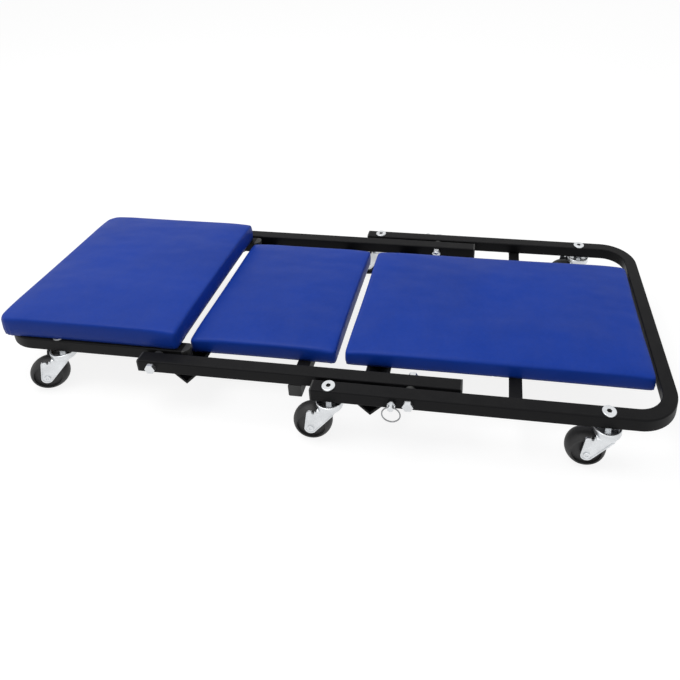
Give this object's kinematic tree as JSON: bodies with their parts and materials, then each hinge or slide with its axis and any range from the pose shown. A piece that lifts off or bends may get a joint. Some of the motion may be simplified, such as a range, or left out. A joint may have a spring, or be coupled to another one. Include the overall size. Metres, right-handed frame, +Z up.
{
  "type": "rolling mechanic seat",
  "caption": "Folding rolling mechanic seat: three padded sections hinged on a black square-tube frame with swivel casters, shown laid out flat as a creeper.",
  "frame": {"origin": "on the floor under the centre of the part's bounding box, laid out flat", "axes": "+X from the head cushion to the foot end, +Y to the rear side in the reference view, +Z up"},
  "size_m": [0.965, 0.411, 0.1197],
  "materials": {
    "frame_paint": "satin black powder coat on square steel tube",
    "vinyl": "smooth blue vinyl with a soft sheen",
    "board": "raw plywood",
    "zinc": "bright zinc plate",
    "bearing_steel": "polished bearing balls",
    "black_screw": "black oxide",
    "tyre": "hard black rubber",
    "plug": "black moulded plastic"
  },
  "bodies": {
    "base": {"base_frame": "frame_paint", "base_plugs": "plug", "base_angle_iron": "frame_paint", "foot_strap": "frame_paint", "foot_board": "board", "foot_cushion": "vinyl", "foot_board_screws": "black_screw", "base_pivot_bolts": "zinc", "base_pivot_nuts": "zinc", "base_pivot_washers": "plug", "base_caster_bolts": "zinc", "base_caster_balls": "bearing_steel", "stem_foot_front": "zinc", "stem_foot_rear": "zinc", "stem_middle_front": "zinc", "stem_middle_rear": "zinc"},
    "middle": {"middle_rail_front": "frame_paint", "middle_rail_rear": "frame_paint", "middle_plugs": "plug", "middle_angle_iron": "frame_paint", "cross_tube": "frame_paint", "middle_board": "board", "middle_cushion": "vinyl", "middle_board_screws": "black_screw", "head_pivot_bolts": "zinc", "head_pivot_nuts": "zinc", "head_pivot_washers": "plug"},
    "head": {"head_frame": "frame_paint", "head_plugs": "plug", "head_board": "board", "head_cushion": "vinyl", "head_board_screws": "black_screw", "head_board_spacers": "zinc", "head_caster_bolts": "zinc", "head_caster_balls": "bearing_steel", "stem_head_front": "zinc", "stem_head_rear": "zinc"},
    "pin_front": {"lock_pin_front": "zinc"},
    "pin_rear": {"lock_pin_rear": "zinc"},
    "ring_front": {"pull_ring_front": "zinc"},
    "ring_rear": {"pull_ring_rear": "zinc"},
    "caster_foot_front": {"fork_foot_front": "zinc", "axle_foot_front": "zinc"},
    "roller_foot_front": {"wheel_foot_front": "tyre"},
    "caster_foot_rear": {"fork_foot_rear": "zinc", "axle_foot_rear": "zinc"},
    "roller_foot_rear": {"wheel_foot_rear": "tyre"},
    "caster_middle_front": {"fork_middle_front": "zinc", "axle_middle_front": "zinc"},
    "roller_middle_front": {"wheel_middle_front": "tyre"},
    "caster_middle_rear": {"fork_middle_rear": "zinc", "axle_middle_rear": "zinc"},
    "roller_middle_rear": {"wheel_middle_rear": "tyre"},
    "caster_head_front": {"fork_head_front": "zinc", "axle_head_front": "zinc"},
    "roller_head_front": {"wheel_head_front": "tyre"},
    "caster_head_rear": {"fork_head_rear": "zinc", "axle_head_rear": "zinc"},
    "roller_head_rear": {"wheel_head_rear": "tyre"}
  },
  "joints": [
    {"name": "middle_fold", "type": "hinge", "parent": "base", "child": "middle", "pos_m": [0.1395, 0, 0.0759], "axis": [0, 1, 0], "range_deg": [0, 140]},
    {"name": "head_fold", "type": "hinge", "parent": "middle", "child": "head", "pos_m": [-0.225, 0, 0.0759], "axis": [0, -1, 0], "range_deg": [0, 140]},
    {"name": "lock_pin_front_slide", "type": "slide", "parent": "base", "child": "pin_front", "axis": [0, -1, 0], "range_m": [-0.0029, 0.006]},
    {"name": "pull_ring_front_swing", "type": "hinge", "parent": "pin_front", "child": "ring_front", "pos_m": [0.11803, -0.2025, 0.0759], "axis": [-1, 0, 0], "range_deg": [0, 100]},
    {"name": "lock_pin_rear_slide", "type": "slide", "parent": "base", "child": "pin_rear", "axis": [0, 1, 0], "range_m": [-0.0029, 0.006]},
    {"name": "pull_ring_rear_swing", "type": "hinge", "parent": "pin_rear", "child": "ring_rear", "pos_m": [0.11803, 0.2025, 0.0759], "axis": [1, 0, 0], "range_deg": [0, 100]},
    {"name": "swivel_foot_front", "type": "hinge", "parent": "base", "child": "caster_foot_front", "pos_m": [0.391, -0.1855, 0.0556], "axis": [0, 0, 1], "continuous": true},
    {"name": "roll_foot_front", "type": "hinge", "parent": "caster_foot_front", "child": "roller_foot_front", "pos_m": [0.3662, -0.18593, 0.0265], "axis": [0.0175, -0.9998, 0], "continuous": true},
    {"name": "swivel_foot_rear", "type": "hinge", "parent": "base", "child": "caster_foot_rear", "pos_m": [0.391, 0.1855, 0.0556], "axis": [0, 0, 1], "continuous": true},
    {"name": "roll_foot_rear", "type": "hinge", "parent": "caster_foot_rear", "child": "roller_foot_rear", "pos_m": [0.36626, 0.18377, 0.0265], "axis": [0.0698, -0.9976, 0], "continuous": true},
    {"name": "swivel_middle_front", "type": "hinge", "parent": "base", "child": "caster_middle_front", "pos_m": [0.0325, -0.1855, 0.0556], "axis": [0, 0, 1], "continuous": true},
    {"name": "roll_middle_front", "type": "hinge", "parent": "caster_middle_front", "child": "roller_middle_front", "pos_m": [0.00773, -0.1868, 0.0265], "axis": [0.0523, -0.9986, 0], "continuous": true},
    {"name": "swivel_middle_rear", "type": "hinge", "parent": "base", "child": "caster_middle_rear", "pos_m": [0.0325, 0.1855, 0.0556], "axis": [0, 0, 1], "continuous": true},
    {"name": "roll_middle_rear", "type": "hinge", "parent": "caster_middle_rear", "child": "roller_middle_rear", "pos_m": [0.00788, 0.18248, 0.0265], "axis": [0.1219, -0.9925, 0], "continuous": true},
    {"name": "swivel_head_front", "type": "hinge", "parent": "head", "child": "caster_head_front", "pos_m": [-0.3845, -0.1385, 0.0556], "axis": [0, 0, 1], "continuous": true},
    {"name": "roll_head_front", "type": "hinge", "parent": "caster_head_front", "child": "roller_head_front", "pos_m": [-0.40765, -0.14739, 0.0265], "axis": [0.3584, -0.9336, 0], "continuous": true},
    {"name": "swivel_head_rear", "type": "hinge", "parent": "head", "child": "caster_head_rear", "pos_m": [-0.3845, 0.1385, 0.0556], "axis": [0, 0, 1], "continuous": true},
    {"name": "roll_head_rear", "type": "hinge", "parent": "caster_head_rear", "child": "roller_head_rear", "pos_m": [-0.40876, 0.14366, 0.0265], "axis": [-0.2079, -0.9781, 0], "continuous": true}
  ]
}
